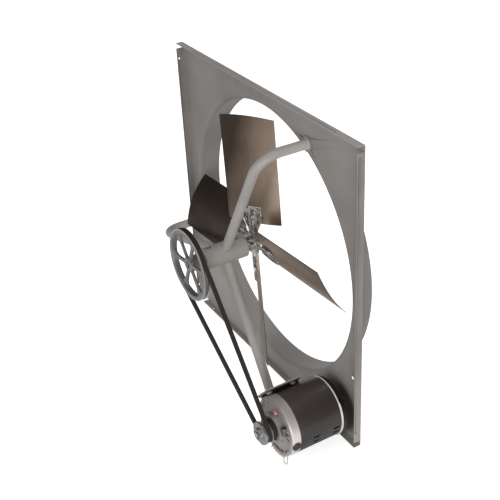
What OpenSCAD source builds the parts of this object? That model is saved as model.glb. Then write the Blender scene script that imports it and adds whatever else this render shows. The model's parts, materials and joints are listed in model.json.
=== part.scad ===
/* [Panel] */
// Side of the square wall panel
panel_side = 870; // [860:1:900]
// Thickness of the panel sheet
sheet = 1.6; // [1.2:0.1:2.5]
// Depth of the folded flanges
flange_depth = 21.6; // [16:0.1:26]
// Flat width between the round throat and the side edges
throat_margin = 49; // [47:1:55]
// Radius of the rounded air entry
entry_r = 14; // [10:1:16]
// Depth of the venturi ring behind the wall face
venturi_depth = 64; // [50:1:80]

/* [Frame] */
// Radius of the frame tubes
tube_r = 12.7; // [11:0.1:14]
// Wall of the frame tubes
tube_wall = 1.6; // [1.2:0.1:2.5]
// Bend radius of the frame tubes at their centre line
bend_r = 61; // [50:1:65]
// Distance of the upper and left feet outside the throat
foot_out = 29; // [26:1:32]
// Distance of the lower foot outside the throat
low_foot_out = 78; // [74:1:82]
// Distance of the plane of the legs in front of the wall face
leg_plane = 138; // [130:1:144]

/* [Fan] */
// Radius of the fan shaft
shaft_r = 9.5; // [9:0.1:10]
// Gap between the blade tips and the throat
tip_gap = 19; // [14:1:36]
// Chord of one blade
blade_chord = 163; // [140:1:170]
// Hollow of the blade section
blade_sag = 10; // [6:0.5:14]
// Radius of the driven pulley
pulley_r = 100.5; // [98:0.5:106]

/* [Motor] */
// Motor axis in from the panel's right edge
motor_in = 81; // [77:1:85]
// Motor axis above the panel's lower edge
motor_up = 108; // [104:1:112]
// Radius of the motor shell
shell_r = 81; // [79:0.5:82]
// Radius of the motor shaft
motor_shaft_r = 7.9; // [7:0.1:8.5]
// Radius of the motor pulley
small_pulley_r = 31.5; // [31:0.5:36]

/* [Hidden] */
$fn = 96;

// Overrun of a cut past a face
over = 1;
// Gap kept at a welded joint between two pieces
weld_gap = 0.1;
// Radial clearance of a turning fit
running = 0.04;
// Clearance of a screw in its hole
screw_gap = 0.4;
// Fan axis below the middle of the panel
axis_drop = 6;

// Places that follow from the panel's side
half_side = panel_side / 2;
throat_r = half_side - throat_margin;
tip_r = throat_r - tip_gap;
foot_r = throat_r + foot_out;
low_foot_r = throat_r + low_foot_out;
motor_x = half_side - motor_in;
motor_down = half_side - axis_drop - motor_up;

// Side flanges stop short of the corners by this
side_flange_gap = 16;
// Bottom flange stops short of the left corner by this
low_flange_gap = 36;
// Side flange holes in from the panel's ends
flange_hole_in = 47;
flange_hole_z = half_side - flange_hole_in;
// Second hole near the upper right corner
extra_hole_in = 29;
extra_hole_z = half_side - extra_hole_in;
// Holes of the top and bottom flanges in from the panel's ends
end_hole_in = 92;
flange_hole_x = half_side - end_hole_in;
// Depth of the flange holes in front of the wall face
flange_hole_y = 14.6;
// Radius of the flange holes
flange_hole_r = 2.6;
// Wall screw holes in from the side edges and from the ends
wall_hole_in = 36;
wall_hole_x = half_side - wall_hole_in;
wall_hole_from_end = 202;
wall_hole_z = half_side - wall_hole_from_end;
// Radius of the wall screw holes
wall_hole_r = 4.4;

// Leg angles about the fan axis
upper_angle = 60;
left_angle = 197;
lower_angle = 302;
// Feet
foot_plate_r = 21;
foot_plate_t = 2.5;
foot_rivet_r = 2.4;
foot_rivet_head_r = 3.4;
foot_rivet_head_t = 1.6;
foot_rivet_place = 16.6;

// Bearing housing
housing_r = 30;
housing_bore_r = 26;
housing_mid_r = 24.8;
housing_front = 206;
housing_back = 78;
slot_long = 15;
slot_wide = 4;
slot_inset = 21;
// Ball bearings
ring_wide = 15;
ring_inset = 7;
ring_inner_r = 16;
ring_outer_inner_r = 23;
ball_r = 3.8;
ball_path_r = 19.5;
groove_r = 4.1;
balls = 9;
seat_fit = 0.01;
clip_groove_r = 27.4;
clip_inner_r = 23.6;
clip_t = 1.6;
clip_gap_angle = 40;
clip_play = 0.15;

// Fan shaft ends and key
shaft_front = 241;
shaft_back = 28;
key_wide = 4.8;
key_long = 21;
key_front = 240;
key_gap = 0.05;

// Belt
belt_y = 244;
belt_wide = 12.7;
belt_deep = 8;
belt_flank = 19;
belt_gap = 0.3;
belt_flush = 0.6;
small_belt_r = 30;
// The straight runs lap into the curves and stand a hair proud there
belt_lap = 2;
belt_step = 0.05;

// Driven pulley
rim_wide = 16;
rim_in_r = 88;
hub_r = 21;
hub_front = 249.5;
hub_back = 210;
spoke_t = 6;
spoke_w = 10;
spoke_foot_w = 34;
spoke_flare = 24;
spokes = 6;
spoke_angle = 7;
set_screw_r = 3.2;
set_screw_long = 11;
set_screw_y = 215;
set_screw_socket_r = 1.6;
set_screw_socket = 3;
pulley_screw_angles = [0, 90];

// Propeller
blade_t = 1.6;
blade_root_r = 61;
blade_mid = 35;
blade_pitch = 29;
first_blade = 93.9;
curve_r = blade_chord * blade_chord / (blade_sag * 8) + blade_sag / 2;
arm_t = 2.5;
arm_start_r = 12;
arm_neck_w = 26;
arm_neck_r = 42;
arm_head_w = 62;
arm_head_r = 78;
arm_end_r = 112;
arm_end_w = 50;
spider_disc_r = 33;
spider_disc_t = 3;
spider_y = 47;
prop_hub_r = 20;
prop_hub_front = 72;
prop_hub_back = 36;
prop_hub_flange_r = 31;
prop_hub_flange_t = 4;
prop_screw_y = 61;
prop_screw_long = 10;
prop_screw_angles = [30, 120];
spider_rivet_r = 2.5;
spider_rivet_head_r = 4.4;
spider_rivet_head_t = 1.8;
spider_rivet_place = 26;
spider_rivet_count = 4;
blade_rivet_r = 2.4;
blade_rivet_head_r = 4.4;
blade_rivet_head_t = 2;
rivet_gap = 0.1;
rivet_row_1 = 74;
rivet_row_2 = 102;
rivet_half_1 = 20;
rivet_half_2 = 17;
rivet_mid = (rivet_row_1 + rivet_row_2) / 2;
blade_angles = [first_blade, first_blade + 90, first_blade + 180, first_blade + 270];
// Tall enough for any cut or outline across the pitched blades
blade_prism = blade_chord / 2;

// Motor
motor_z = -axis_drop - motor_down;
shell_wall = 2;
shell_gap = 0.1;
shell_front = 185;
shell_back = 60.5;
vent_long = 18;
vent_wide = 6;
vent_ys = [138, 76];
vent_angles = [-7, -19, -80, -92, -142, -154];
bell_wall = 4;
bell_face = 212;
bell_floor = 207;
bell_round = 7;
bell_spigot = 5;
bell_lip_r = 71;
boss_r = 41;
boss_front = 222;
boss_hollow_r = 33;
boss_hollow = 4;
bell_hub_r = 17;
bush_r = 12;
bush_long = 24;
back_face = 42;
back_rim = 51;
back_hub = 38;
back_slot_long = 18;
back_lip_front = 57;
back_lip_long = 11;
back_lip_proud = 2.5;
back_lip_start = -39;
back_lip_angle = 101;
back_bush_long = 18;
comb_slots = 6;
comb_pitch = 6.5;
comb_mid = -84;
comb_wide = 5.5;
comb_in_r = 66;
comb_deep = 14;
face_slot_r = 45.5;
face_slot_long = 13;
face_slot_wide = 4.5;
face_slot_angles = [-8, 172];
wire_hole_place = 70;
wire_hole_angles = [-40, -60];
wire_hole_r = 3;
tie_place = 67;
tie_r = 2.1;
tie_head_r = 3.67;
tie_head_t = 3;
tie_angles = [38, 128, 218, 308];
tie_nut_r = 4.6;
tie_nut_t = 4;
stator_r = 78.9;
stator_bore_r = 44.5;
stator_front = 150;
stator_back = 86;
stator_slots = 24;
stator_slot_r = 3.2;
stator_slot_place = 52;
winding_mid_r = 56;
winding_r = 8.5;
winding_gap = 0.3;
rotor_r = 44;
end_ring_r = 40;
end_ring_in = 26;
end_ring_t = 9;
motor_shaft_back = 45;
slinger_r = 29;
slinger_t = 8;
slinger_back = 223;
collar_r = 18;
collar_t = 12;
collar_front = 79;
switch_t = 2;
switch_back = 62.5;
switch_in_r = 22;
switch_out_r = 50;
switch_post_r = 4;
switch_post_place = 40;
switch_post_angles = [0, 120, 240];
plug_angle = -9;
plug_y = 198;
plug_r = 12.5;
plug_head = 2;
plug_hole_in_r = 70;
plug_neck_r = 11;

// Motor pulley
front_half_out = 14;
front_half_face = belt_y + front_half_out;
front_half_hub_r = 17;
front_half_hub_long = 8;
front_half_hub_front = front_half_face + front_half_hub_long;
rear_half_in = 10.4;
rear_half_back = belt_y - rear_half_in;
sleeve_r = 12;
flange_edge = 3;
sleeve_short = 2;
sleeve_front = front_half_hub_front - sleeve_short;
shaft_stub = 2;
motor_shaft_front = front_half_hub_front + shaft_stub;
pulley_screw_long = 4.2;
pulley_screw_angle = 150;

// Reset button, terminals and leads
button_place = 64;
button_angle = 78;
button_r = 6;
button_out = 5;
button_flange_r = 7.4;
button_flange_t = 1.2;
protector_r = 9.5;
protector_t = 12;
protector_gap = 6;
protector_seat_r = 9;
block_place = 43;
block_angle = 88;
block_w = 10;
block_h = 8;
block_t = 7;
block_screw_r = 1.8;
block_screw_t = 1.6;
block_screw_places = [block_w / 4, block_w * 3 / 4];
clamp_in_r = 42;
clamp_angle = 23;
clamp_long = 27.5;
clamp_foot = 8;
clamp_wide = 22;
clamp_t = 2;
clamp_rise = 15;
clamp_screw_r = 2.7;
clamp_screw_t = 2.4;
clamp_stem_r = 1.8;
loop_wire = 1.1;
loop_half = 8;
loop_long = 28;
loop_gap = 0.8;
loop_lean = 6;
loop_sides = 24;

// Motor bracket and base
reach = sqrt(motor_x * motor_x + motor_down * motor_down);
reach_angle = -atan2(motor_down, motor_x);
bracket_t = 4;
bracket_left = 136;
bracket_right = 31.5;
// The plate's front corner by the lower leg is cut away
bracket_cut_deep = 46;
bracket_cut_long = 100;
bracket_front = 206;
bracket_back = 101;
base_t = 3;
// Gap between the base and the lowest line of the shell
base_gap = 4.87;
bracket_reach = reach - shell_r - base_gap - base_t - bracket_t;
base_front = 206;
base_back = 105;
base_half = 33;
base_web = 15;
base_bolt_half = 24;
base_bolt_ys = [197, 127];
bolt_r = 4;
bolt_head_r = 7;
bolt_head_t = 1.8;
bolt_nut_r = 7.4;
bolt_nut_t = 4.4;
washer_r = 8.4;
washer_t = 1.4;
bolt_tail = 0.6;

module on_fan(y) {
  translate([0, -y, -axis_drop]) rotate([-90, 0, 0]) children();
}
module on_motor(y) {
  translate([motor_x, -y, motor_z]) rotate([-90, 0, 0]) children();
}
module radial(a) {
  translate([0, 0, -axis_drop]) rotate([0, -a, 0]) children();
}
module motor_radial(a) {
  translate([motor_x, 0, motor_z]) rotate([0, -a, 0]) children();
}
module ring(outer, inner, long) {
  difference() {
    cylinder(r = outer, h = long);
    translate([0, 0, -over]) cylinder(r = inner, h = long + over + over);
  }
}
module side_flange(side) {
  high = panel_side - side_flange_gap - side_flange_gap;
  x = side > 0 ? panel_side / 2 - sheet : -panel_side / 2;
  difference() {
    translate([x, -flange_depth, -high / 2]) cube([sheet, flange_depth, high]);
    for (z = [-flange_hole_z, flange_hole_z])
      translate([x - over, -flange_hole_y, z]) rotate([0, 90, 0])
        cylinder(r = flange_hole_r, h = sheet + over + over);
    if (side > 0)
      translate([x - over, -flange_hole_y, extra_hole_z]) rotate([0, 90, 0])
        cylinder(r = flange_hole_r, h = sheet + over + over);
  }
}
module end_flange(side, gap) {
  long = panel_side - gap;
  z = side > 0 ? panel_side / 2 - sheet : -panel_side / 2;
  difference() {
    translate([gap - panel_side / 2, -flange_depth, z]) cube([long, flange_depth, sheet]);
    for (x = [-flange_hole_x, flange_hole_x])
      translate([x, -flange_hole_y, z - over]) cylinder(r = flange_hole_r, h = sheet + over + over);
  }
}
module venturi() {
  on_fan(sheet) rotate_extrude() {
    translate([throat_r, entry_r]) square([sheet, venturi_depth + sheet - entry_r]);
    intersection() {
      translate([throat_r + entry_r, entry_r]) difference() {
        circle(r = entry_r);
        circle(r = entry_r - sheet);
      }
      translate([throat_r, 0]) square([entry_r, entry_r]);
    }
  }
}
module panel() {
  color("#85817b") {
    difference() {
      translate([-panel_side / 2, -sheet, -panel_side / 2]) cube([panel_side, sheet, panel_side]);
      on_fan(sheet + over) cylinder(r = throat_r + entry_r, h = sheet + over + over);
      for (x = [-wall_hole_x, wall_hole_x])
        translate([x, over, -wall_hole_z]) rotate([90, 0, 0])
        cylinder(r = wall_hole_r, h = sheet + over + over);
      for (a = [upper_angle, left_angle, lower_angle]) foot_rivet_places(a) translate([0, over, 0])
        rotate([90, 0, 0])
        cylinder(r = foot_rivet_r + rivet_gap, h = sheet + over + over);
    }
    side_flange(1);
    side_flange(-1);
    end_flange(1, 0);
    end_flange(-1, low_flange_gap);
    venturi();
  }
}
function foot_of(a) = a == lower_angle ? low_foot_r : foot_r;
module foot_rivet_places(a) {
  radial(a) translate([foot_of(a), 0, 0]) for (s = [-1, 1])
    translate([0, 0, s * foot_rivet_place]) children();
}
module leg_path(foot, r, extra) {
  straight = leg_plane - bend_r - sheet - foot_plate_t;
  translate([foot, -leg_plane + bend_r, 0]) rotate([-90, 0, 0]) cylinder(r = r, h = straight + extra);
  translate([foot - bend_r, -leg_plane + bend_r, 0]) rotate([0, 0, -90]) rotate_extrude(angle = 90)
    translate([bend_r, 0]) circle(r = r);
  translate([0, -leg_plane, 0]) rotate([0, 90, 0]) cylinder(r = r, h = foot - bend_r);
}
module leg(a) {
  color("#9a958e") difference() {
    radial(a) leg_path(foot_of(a), tube_r, 0);
    radial(a) leg_path(foot_of(a), tube_r - tube_wall, over);
    on_fan(housing_front) cylinder(r = housing_r + weld_gap, h = housing_front - housing_back);
  }
}
module upper_leg() {
  leg(upper_angle);
}
module left_leg() {
  leg(left_angle);
}
module lower_leg() {
  leg(lower_angle);
}
module leg_foot_plates() {
  color("#8f8a83") for (a = [upper_angle, left_angle, lower_angle]) difference() {
    radial(a) translate([foot_of(a), -sheet - foot_plate_t, 0]) rotate([-90, 0, 0])
      cylinder(r = foot_plate_r, h = foot_plate_t);
    foot_rivet_places(a) translate([0, over, 0]) rotate([90, 0, 0])
      cylinder(r = foot_rivet_r + rivet_gap, h = sheet + foot_plate_t + over + over);
  }
}
module leg_foot_rivets() {
  color("#b5b1aa") for (a = [upper_angle, left_angle, lower_angle]) foot_rivet_places(a) {
    rotate([90, 0, 0]) cylinder(r = foot_rivet_r, h = sheet + foot_plate_t);
    translate([0, -sheet - foot_plate_t, 0]) rotate([90, 0, 0])
      cylinder(r1 = foot_rivet_head_r, r2 = foot_rivet_r, h = foot_rivet_head_t);
  }
}
module bearing_housing() {
  long = housing_front - housing_back;
  seat = ring_inset + ring_wide;
  color("#95918a") difference() {
    on_fan(housing_front) cylinder(r = housing_r, h = long);
    on_fan(housing_front + over) cylinder(r = housing_mid_r, h = long + over + over);
    on_fan(housing_front + over) cylinder(r = housing_bore_r, h = seat + over);
    on_fan(housing_back + seat) cylinder(r = housing_bore_r, h = seat + over);
    on_fan(housing_front - ring_inset + clip_t + clip_play) cylinder(r = clip_groove_r, h = clip_t);
    on_fan(housing_back + ring_inset - clip_play) cylinder(r = clip_groove_r, h = clip_t);
    for (y = [housing_front - slot_inset, housing_back + slot_inset])
      translate([-slot_wide / 2, -y - slot_long / 2, -axis_drop + housing_mid_r - over])
        cube([slot_wide, slot_long, housing_r]);
  }
}
module bearing_outer(y) {
  color("#c9c9c6") on_fan(y) difference() {
    ring(housing_bore_r - seat_fit, ring_outer_inner_r, ring_wide);
    translate([0, 0, ring_wide / 2]) rotate_extrude() translate([ball_path_r, 0]) circle(r = groove_r);
  }
}
module bearing_inner(y) {
  color("#d0d0cd") on_fan(y) difference() {
    ring(ring_inner_r, shaft_r + seat_fit, ring_wide);
    translate([0, 0, ring_wide / 2]) rotate_extrude() translate([ball_path_r, 0]) circle(r = groove_r);
  }
}
module bearing_balls(y) {
  color("#dcdcda") on_fan(y - ring_wide / 2) for (i = [0 : balls - 1])
    rotate([0, 0, i * 360 / balls]) translate([ball_path_r, 0, 0]) sphere(r = ball_r);
}
module pulley_end_outer_ring() {
  bearing_outer(housing_front - ring_inset);
}
module prop_end_outer_ring() {
  bearing_outer(housing_back + ring_inset + ring_wide);
}
module pulley_end_inner_ring() {
  bearing_inner(housing_front - ring_inset);
}
module prop_end_inner_ring() {
  bearing_inner(housing_back + ring_inset + ring_wide);
}
module pulley_end_balls() {
  bearing_balls(housing_front - ring_inset);
}
module prop_end_balls() {
  bearing_balls(housing_back + ring_inset + ring_wide);
}
module retaining_clip(y) {
  on_fan(y) rotate([0, 0, clip_gap_angle]) rotate_extrude(angle = 360 - clip_gap_angle)
    translate([clip_inner_r, clip_play / 2])
      square([clip_groove_r - clip_inner_r - clip_play, clip_t - clip_play]);
}
module retaining_rings() {
  color("#6d6a66") {
    retaining_clip(housing_front - ring_inset + clip_t + clip_play);
    retaining_clip(housing_back + ring_inset - clip_play);
  }
}
module key_space(gap) {
  translate([-key_wide / 2 - gap, -key_front, -axis_drop + shaft_r - key_wide / 2])
    cube([key_wide + gap + gap, key_long, key_wide + gap]);
}
module fan_shaft() {
  color("#bdbdba") difference() {
    on_fan(shaft_front) cylinder(r = shaft_r, h = shaft_front - shaft_back);
    key_space(key_gap);
  }
}
module pulley_key() {
  color("#8a8a87") translate([-key_wide / 2, -key_front, -axis_drop + shaft_r - key_wide / 2])
    cube([key_wide, key_long, key_wide]);
}
module groove(outer) {
  deep = belt_deep + belt_flush + belt_gap + belt_gap;
  half = belt_wide / 2 + belt_gap + belt_flush * tan(belt_flank);
  low = half - deep * tan(belt_flank);
  polygon([[outer + over, half + over * tan(belt_flank)], [outer - deep, low],
    [outer - deep, -low], [outer + over, -half - over * tan(belt_flank)]]);
}
module spoke() {
  polygon([[hub_r - spoke_w / 4, -spoke_w / 2], [rim_in_r - spoke_flare, -spoke_w / 2],
    [rim_in_r + over, -spoke_foot_w / 2], [rim_in_r + over, spoke_foot_w / 2],
    [rim_in_r - spoke_flare, spoke_w / 2], [hub_r - spoke_w / 4, spoke_w / 2]]);
}
module driven_pulley() {
  color("#8e8e8a") difference() {
    union() {
      on_fan(belt_y + rim_wide / 2) ring(pulley_r, rim_in_r, rim_wide);
      on_fan(hub_front) cylinder(r = hub_r, h = hub_front - hub_back);
      for (i = [0 : spokes - 1]) radial(spoke_angle + i * 360 / spokes)
        translate([0, -belt_y + spoke_t / 2, 0]) rotate([90, 0, 0])
          linear_extrude(height = spoke_t) spoke();
    }
    on_fan(belt_y) rotate_extrude() groove(pulley_r);
    on_fan(hub_front + over) cylinder(r = shaft_r + seat_fit, h = hub_front - hub_back + over + over);
    key_space(key_gap);
    for (a = pulley_screw_angles) set_screw_place(a) cylinder(r = set_screw_r + seat_fit, h = hub_r);
  }
}
module set_screw_place(a) {
  radial(a) translate([shaft_r + screw_gap, -set_screw_y, 0]) rotate([0, 90, 0]) children();
}
module set_screw(long) {
  difference() {
    cylinder(r = set_screw_r, h = long);
    translate([0, 0, long - set_screw_socket])
      cylinder(r = set_screw_socket_r, h = set_screw_socket + over, $fn = 6);
  }
}
module pulley_set_screws() {
  color("#4c4a47") for (a = pulley_screw_angles) set_screw_place(a) set_screw(set_screw_long);
}
module prop_hub() {
  color("#a8a6a2") difference() {
    union() {
      on_fan(prop_hub_front) cylinder(r = prop_hub_r, h = prop_hub_front - prop_hub_back);
      on_fan(spider_y + spider_disc_t + prop_hub_flange_t)
        cylinder(r = prop_hub_flange_r, h = prop_hub_flange_t);
    }
    on_fan(prop_hub_front + over)
      cylinder(r = shaft_r + seat_fit, h = prop_hub_front - prop_hub_back + over + over);
    for (a = prop_screw_angles) prop_screw_place(a) cylinder(r = set_screw_r + seat_fit, h = prop_hub_r);
    spider_rivet_places() cylinder(r = spider_rivet_r + rivet_gap, h = prop_hub_flange_t + over + over);
  }
}
module prop_screw_place(a) {
  radial(a) translate([shaft_r + screw_gap, -prop_screw_y, 0]) rotate([0, 90, 0]) children();
}
module prop_hub_set_screws() {
  color("#4c4a47") for (a = prop_screw_angles) prop_screw_place(a) set_screw(prop_screw_long);
}
module spider_rivet_places() {
  for (i = [0 : spider_rivet_count - 1])
    on_fan(spider_y + spider_disc_t + prop_hub_flange_t + over)
      rotate([0, 0, -first_blade + 45 + i * 360 / spider_rivet_count])
        translate([spider_rivet_place, 0, 0]) children();
}
module blade_frame(a) {
  radial(a) translate([0, -blade_mid, 0]) rotate([blade_pitch, 0, 0]) children();
}
module curved_sheet(inner, thick, start, end) {
  translate([start, curve_r - blade_sag, 0]) rotate([0, 90, 0]) ring(inner + thick, inner, end - start);
}
module arm_outline() {
  polygon([[arm_start_r, -arm_neck_w / 2], [arm_neck_r, -arm_neck_w / 2], [arm_head_r, -arm_head_w / 2],
    [arm_end_r, -arm_end_w / 2], [arm_end_r, arm_end_w / 2], [arm_head_r, arm_head_w / 2],
    [arm_neck_r, arm_neck_w / 2], [arm_start_r, arm_neck_w / 2]]);
}
module arm(a) {
  blade_frame(a) intersection() {
    curved_sheet(curve_r + blade_t / 2 + rivet_gap, arm_t, 0, arm_end_r + over);
    rotate([90, 0, 0]) linear_extrude(height = blade_prism, center = true) arm_outline();
  }
}
module prop_spider() {
  color("#a9a7a2") difference() {
    union() {
      for (a = blade_angles) arm(a);
      on_fan(spider_y + spider_disc_t) cylinder(r = spider_disc_r, h = spider_disc_t);
    }
    on_fan(prop_hub_front) cylinder(r = prop_hub_r + rivet_gap, h = prop_hub_front);
    on_fan(spider_y + spider_disc_t + prop_hub_front)
      cylinder(r = prop_hub_flange_r + over, h = prop_hub_front);
    spider_rivet_places() cylinder(r = spider_rivet_r + rivet_gap, h = prop_hub_front);
    for (a = blade_angles) blade_rivet_places(a)
      cylinder(r = blade_rivet_r + rivet_gap, h = blade_prism, center = true);
  }
}
module spider_rivets() {
  long = prop_hub_flange_t + spider_disc_t;
  color("#c4c2bd") spider_rivet_places() translate([0, 0, over]) {
    translate([0, 0, -spider_rivet_head_t]) cylinder(r = spider_rivet_head_r, h = spider_rivet_head_t);
    cylinder(r = spider_rivet_r, h = long);
    translate([0, 0, long]) cylinder(r = spider_rivet_head_r, h = spider_rivet_head_t);
  }
}
module blade_outline() {
  intersection() {
    translate([blade_root_r, -blade_chord / 2]) square([tip_r, blade_chord]);
    circle(r = tip_r);
  }
}
module blade_rivet_places(a) {
  for (p = [[rivet_row_1, -rivet_half_1], [rivet_row_1, rivet_half_1], [rivet_row_2, -rivet_half_2],
    [rivet_row_2, rivet_half_2], [rivet_mid, 0]])
    blade_frame(a) translate([p[0], curve_r - blade_sag, 0]) rotate([asin(p[1] / curve_r), 0, 0])
      translate([0, -curve_r, 0]) rotate([90, 0, 0]) children();
}
module blade(a) {
  color("#7b6c61") difference() {
    blade_frame(a) intersection() {
      curved_sheet(curve_r - blade_t / 2, blade_t, blade_root_r - over, tip_r + over);
      rotate([90, 0, 0]) linear_extrude(height = blade_prism, center = true) blade_outline();
    }
    blade_rivet_places(a) cylinder(r = blade_rivet_r + rivet_gap, h = blade_sag, center = true);
  }
}
module upper_blade() {
  blade(blade_angles[0]);
}
module left_blade() {
  blade(blade_angles[1]);
}
module lower_blade() {
  blade(blade_angles[2]);
}
module right_blade() {
  blade(blade_angles[3]);
}
module blade_rivets() {
  low = blade_t / 2 + rivet_gap;
  high = blade_t / 2 + rivet_gap + arm_t;
  color("#c8c4bd") for (a = blade_angles) blade_rivet_places(a) {
    translate([0, 0, -low - blade_rivet_head_t]) cylinder(r = blade_rivet_head_r, h = blade_rivet_head_t);
    translate([0, 0, -low]) cylinder(r = blade_rivet_r, h = low + high);
    translate([0, 0, high]) cylinder(r = blade_rivet_head_r, h = blade_rivet_head_t);
  }
}
module belt_section(outer) {
  low = belt_wide / 2 - belt_deep * tan(belt_flank);
  polygon([[outer, -belt_wide / 2], [outer, belt_wide / 2], [outer - belt_deep, low],
    [outer - belt_deep, -low]]);
}
module v_belt() {
  big = pulley_r - belt_flush;
  turn = acos((big - small_belt_r) / reach);
  long = sqrt(reach * reach - (big - small_belt_r) * (big - small_belt_r));
  color("#2e2a29") radial(reach_angle) translate([0, -belt_y, 0]) rotate([-90, 0, 0]) {
    rotate([0, 0, turn]) rotate_extrude(angle = 360 - turn - turn) belt_section(big);
    translate([reach, 0, 0]) rotate([0, 0, -turn])
      rotate_extrude(angle = turn + turn) belt_section(small_belt_r);
    rotate([0, 0, turn]) translate([belt_step, belt_lap, 0]) rotate([90, 0, 0])
      linear_extrude(height = long + belt_lap + belt_lap) belt_section(big);
    rotate([0, 0, -turn]) translate([belt_step, long + belt_lap, 0]) rotate([90, 0, 0])
      linear_extrude(height = long + belt_lap + belt_lap) belt_section(big);
  }
}
module motor_pulley_rear_half() {
  color("#9c9c99") difference() {
    union() {
      on_motor(sleeve_front) cylinder(r = sleeve_r, h = sleeve_front - rear_half_back);
      on_motor(belt_y) cylinder(r = small_pulley_r, h = belt_wide / 2 + flange_edge);
    }
    on_motor(belt_y) rotate_extrude() motor_groove();
    on_motor(sleeve_front + over)
      cylinder(r = motor_shaft_r + seat_fit, h = sleeve_front - rear_half_back + over + over);
  }
}
module motor_groove() {
  flush = small_pulley_r - small_belt_r;
  half = belt_wide / 2 + belt_gap + flush * tan(belt_flank);
  slope = tan(belt_flank);
  deep = small_pulley_r - sleeve_r - running;
  polygon([[small_pulley_r + over, half + over * slope], [small_pulley_r - deep, half - deep * slope],
    [small_pulley_r - deep, -half + deep * slope], [small_pulley_r + over, -half - over * slope]]);
}
module motor_pulley_front_half() {
  color("#a6a6a3") difference() {
    union() {
      on_motor(front_half_face) cylinder(r = small_pulley_r, h = front_half_face - belt_y - belt_gap);
      on_motor(front_half_hub_front)
        cylinder(r = front_half_hub_r, h = front_half_hub_front - front_half_face);
    }
    on_motor(belt_y) rotate_extrude() motor_groove();
    on_motor(front_half_hub_front + over) cylinder(r = sleeve_r + running, h = front_half_hub_front);
    cap_screw_place() cylinder(r = set_screw_r + seat_fit, h = front_half_hub_r);
  }
}
module cap_screw_place() {
  mid = (front_half_hub_front + front_half_face) / 2;
  motor_radial(pulley_screw_angle) translate([sleeve_r + screw_gap, -mid, 0]) rotate([0, 90, 0]) children();
}
module motor_pulley_set_screw() {
  color("#4c4a47") cap_screw_place() set_screw(pulley_screw_long);
}
module motor_shaft() {
  color("#b9b9b6") on_motor(motor_shaft_front)
    cylinder(r = motor_shaft_r, h = motor_shaft_front - motor_shaft_back);
}
module rotor_core() {
  color("#6f6e6b") on_motor(stator_front)
    ring(rotor_r, motor_shaft_r + seat_fit, stator_front - stator_back);
}
module rotor_end_rings() {
  color("#b4b5b3") {
    on_motor(stator_front + end_ring_t) ring(end_ring_r, end_ring_in, end_ring_t);
    on_motor(stator_back) ring(end_ring_r, end_ring_in, end_ring_t);
  }
}
module shaft_slinger() {
  color("#1f1d1c") on_motor(slinger_back + slinger_t) ring(slinger_r, motor_shaft_r + seat_fit, slinger_t);
}
module start_switch_collar() {
  color("#a3472f") on_motor(collar_front) ring(collar_r, motor_shaft_r + seat_fit, collar_t);
}
module motor_shell() {
  color("#35302f") difference() {
    on_motor(shell_front) ring(shell_r, shell_r - shell_wall, shell_front - shell_back);
    for (y = vent_ys, a = vent_angles) motor_radial(a)
      translate([stator_r - shell_wall, -y - vent_long / 2, -vent_wide / 2])
        cube([shell_r, vent_long, vent_wide]);
  }
}
module through_bolt_holes() {
  for (a = tie_angles) motor_radial(a) translate([tie_place, 0, 0]) rotate([90, 0, 0])
    cylinder(r = tie_r + screw_gap, h = bell_face + boss_front);
}
module button_frame(y) {
  motor_radial(button_angle) translate([button_place, -y, 0]) rotate([-90, 0, 0]) children();
}
module front_end_bell() {
  inside = bell_floor - bell_wall;
  boss_inside = boss_front - boss_hollow - bell_wall;
  spigot_r = shell_r - shell_wall - shell_gap;
  color("#b7b0a8") {
    difference() {
      union() {
        on_motor(bell_face - bell_round) cylinder(r = shell_r, h = bell_face - bell_round - shell_front);
        on_motor(bell_face) cylinder(r = shell_r - bell_round, h = bell_face - shell_front);
        on_motor(bell_face - bell_round) rotate_extrude() translate([shell_r - bell_round, 0])
          circle(r = bell_round);
        on_motor(shell_front) cylinder(r = spigot_r, h = bell_spigot);
        on_motor(boss_front) cylinder(r = boss_r, h = boss_front - bell_floor);
      }
      on_motor(bell_face + over) ring(bell_lip_r, boss_r, bell_face - bell_floor + over);
      on_motor(boss_front + over) ring(boss_hollow_r, bell_hub_r, boss_hollow + over);
      on_motor(inside) ring(spigot_r - bell_wall, bell_hub_r, inside);
      on_motor(boss_inside) ring(boss_r - bell_wall, bell_hub_r, boss_inside);
      on_motor(boss_front - bush_long) cylinder(r = bell_hub_r + over, h = boss_front);
      on_motor(boss_front + over) cylinder(r = bush_r + seat_fit, h = boss_front);
      for (i = [0 : comb_slots - 1]) motor_radial(comb_mid + (i - (comb_slots - 1) / 2) * comb_pitch)
        translate([comb_in_r, -bell_face - over, -comb_wide / 2]) cube([shell_r, comb_deep, comb_wide]);
      for (a = face_slot_angles) motor_radial(a)
        translate([face_slot_r, -bell_face - over, -face_slot_wide / 2])
        cube([face_slot_long, comb_deep, face_slot_wide]);
      for (a = wire_hole_angles) motor_radial(a) translate([wire_hole_place, -bell_face - over, 0])
        rotate([-90, 0, 0])
        cylinder(r = wire_hole_r, h = comb_deep);
      motor_radial(plug_angle) translate([plug_hole_in_r, -plug_y, 0]) rotate([0, 90, 0])
        cylinder(r = plug_neck_r + screw_gap, h = shell_r);
      button_frame(bell_face + over) cylinder(r = button_r + screw_gap, h = comb_deep);
      through_bolt_holes();
      clamp_screw_places() cylinder(r = clamp_stem_r + rivet_gap, h = clamp_rise + clamp_rise);
    }
    button_frame(inside + weld_gap)
      ring(protector_seat_r, button_flange_r + screw_gap, protector_gap + weld_gap);
  }
}
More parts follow.
